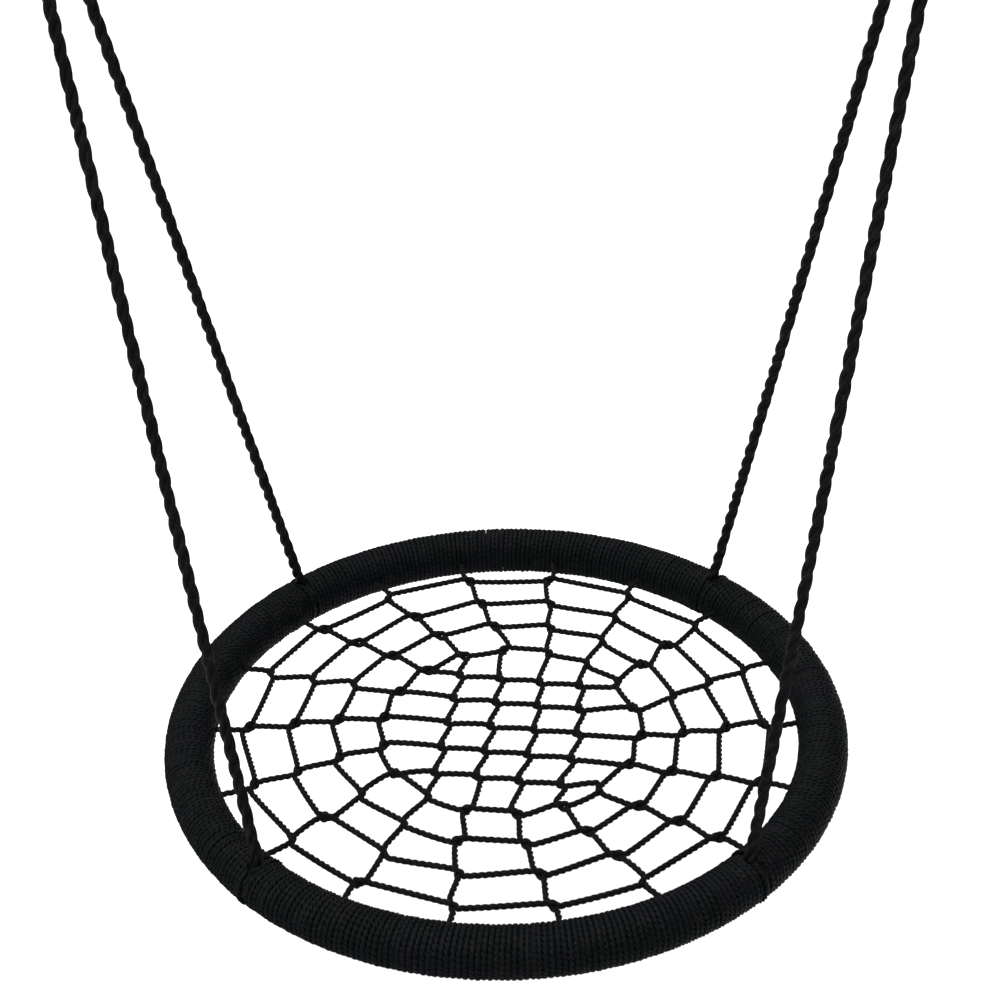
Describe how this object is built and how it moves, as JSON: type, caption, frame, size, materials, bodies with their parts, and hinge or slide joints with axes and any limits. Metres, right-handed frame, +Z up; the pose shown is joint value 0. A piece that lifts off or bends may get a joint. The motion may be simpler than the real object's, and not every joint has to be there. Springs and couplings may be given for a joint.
{
  "type": "saucer nest swing",
  "caption": "Round nest swing seat: rope-wound padded hoop with a knotted rope net, hung by laid ropes from a ring and carabiner on each side.",
  "frame": {"origin": "midway between the two points where a beam's hooks carry the carabiners", "axes": "+Z up, X from the left hanger to the right hanger along the swing's axis, -Y the front"},
  "size_m": [1.1914, 0.9998, 1.6323],
  "materials": {
    "black_winding_rope": "twisted synthetic rope, matt",
    "black_hanging_rope": "three-strand laid rope, matt with a faint sheen",
    "black_net_rope": "thin twisted rope, matt",
    "foam": "closed-cell foam, matt",
    "hoop_steel": "galvanised tube",
    "galvanised_steel": "galvanised, slightly dull",
    "stainless_steel": "polished stainless",
    "spring_steel": "drawn wire"
  },
  "bodies": {
    "hooks": {"carabiner_left": "galvanised_steel", "gate_pin_left": "stainless_steel", "carabiner_right": "galvanised_steel", "gate_pin_right": "stainless_steel"},
    "seat": {"foam_sleeve_back": "foam", "foam_sleeve_front": "foam", "foam_sleeve_left": "foam", "foam_sleeve_right": "foam", "hanging_ring_left": "galvanised_steel", "hanging_ring_right": "galvanised_steel", "hanging_rope_back_left": "black_hanging_rope", "hanging_rope_back_right": "black_hanging_rope", "hanging_rope_front_left": "black_hanging_rope", "hanging_rope_front_right": "black_hanging_rope", "hoop_left": "hoop_steel", "hoop_right": "hoop_steel", "hoop_spigot_back": "hoop_steel", "hoop_spigot_front": "hoop_steel", "net_column_1": "black_net_rope", "net_column_2": "black_net_rope", "net_column_3": "black_net_rope", "net_column_4": "black_net_rope", "net_hitches": "black_net_rope", "net_knots": "black_net_rope", "net_ring_1": "black_net_rope", "net_ring_2": "black_net_rope", "net_ring_3": "black_net_rope", "net_ring_4": "black_net_rope", "net_row_1": "black_net_rope", "net_row_2": "black_net_rope", "net_row_3": "black_net_rope", "net_row_4": "black_net_rope", "net_row_5": "black_net_rope", "rim_loop_back_left": "black_hanging_rope", "rim_loop_back_right": "black_hanging_rope", "rim_loop_front_left": "black_hanging_rope", "rim_loop_front_right": "black_hanging_rope", "rim_winding_back": "black_winding_rope", "rim_winding_front": "black_winding_rope", "rim_winding_left": "black_winding_rope", "rim_winding_right": "black_winding_rope", "rope_eye_back_left": "black_hanging_rope", "rope_eye_back_right": "black_hanging_rope", "rope_eye_front_left": "black_hanging_rope", "rope_eye_front_right": "black_hanging_rope", "splice_back_left": "black_hanging_rope", "splice_back_right": "black_hanging_rope", "splice_front_left": "black_hanging_rope", "splice_front_right": "black_hanging_rope", "thimble_back_left": "stainless_steel", "thimble_back_right": "stainless_steel", "thimble_front_left": "stainless_steel", "thimble_front_right": "stainless_steel"},
    "gate_left": {"gate_left": "galvanised_steel", "gate_spring_left": "spring_steel"},
    "gate_right": {"gate_right": "galvanised_steel", "gate_spring_right": "spring_steel"}
  },
  "joints": [
    {"name": "swing", "type": "hinge", "parent": "hooks", "child": "seat", "pos_m": [0, 0, -0.08396], "axis": [1, 0, 0], "range_deg": [-45, 45]},
    {"name": "gate_left_hinge", "type": "hinge", "parent": "hooks", "child": "gate_left", "pos_m": [-0.54453, 0, -0.05221], "axis": [0, -1, 0], "range_deg": [0, 25], "stiffness_Nm_per_rad": 0.3, "springref_deg": -57.3},
    {"name": "gate_right_hinge", "type": "hinge", "parent": "hooks", "child": "gate_right", "pos_m": [0.54453, 0, -0.05221], "axis": [0, 1, 0], "range_deg": [0, 25], "stiffness_Nm_per_rad": 0.3, "springref_deg": -57.3}
  ]
}
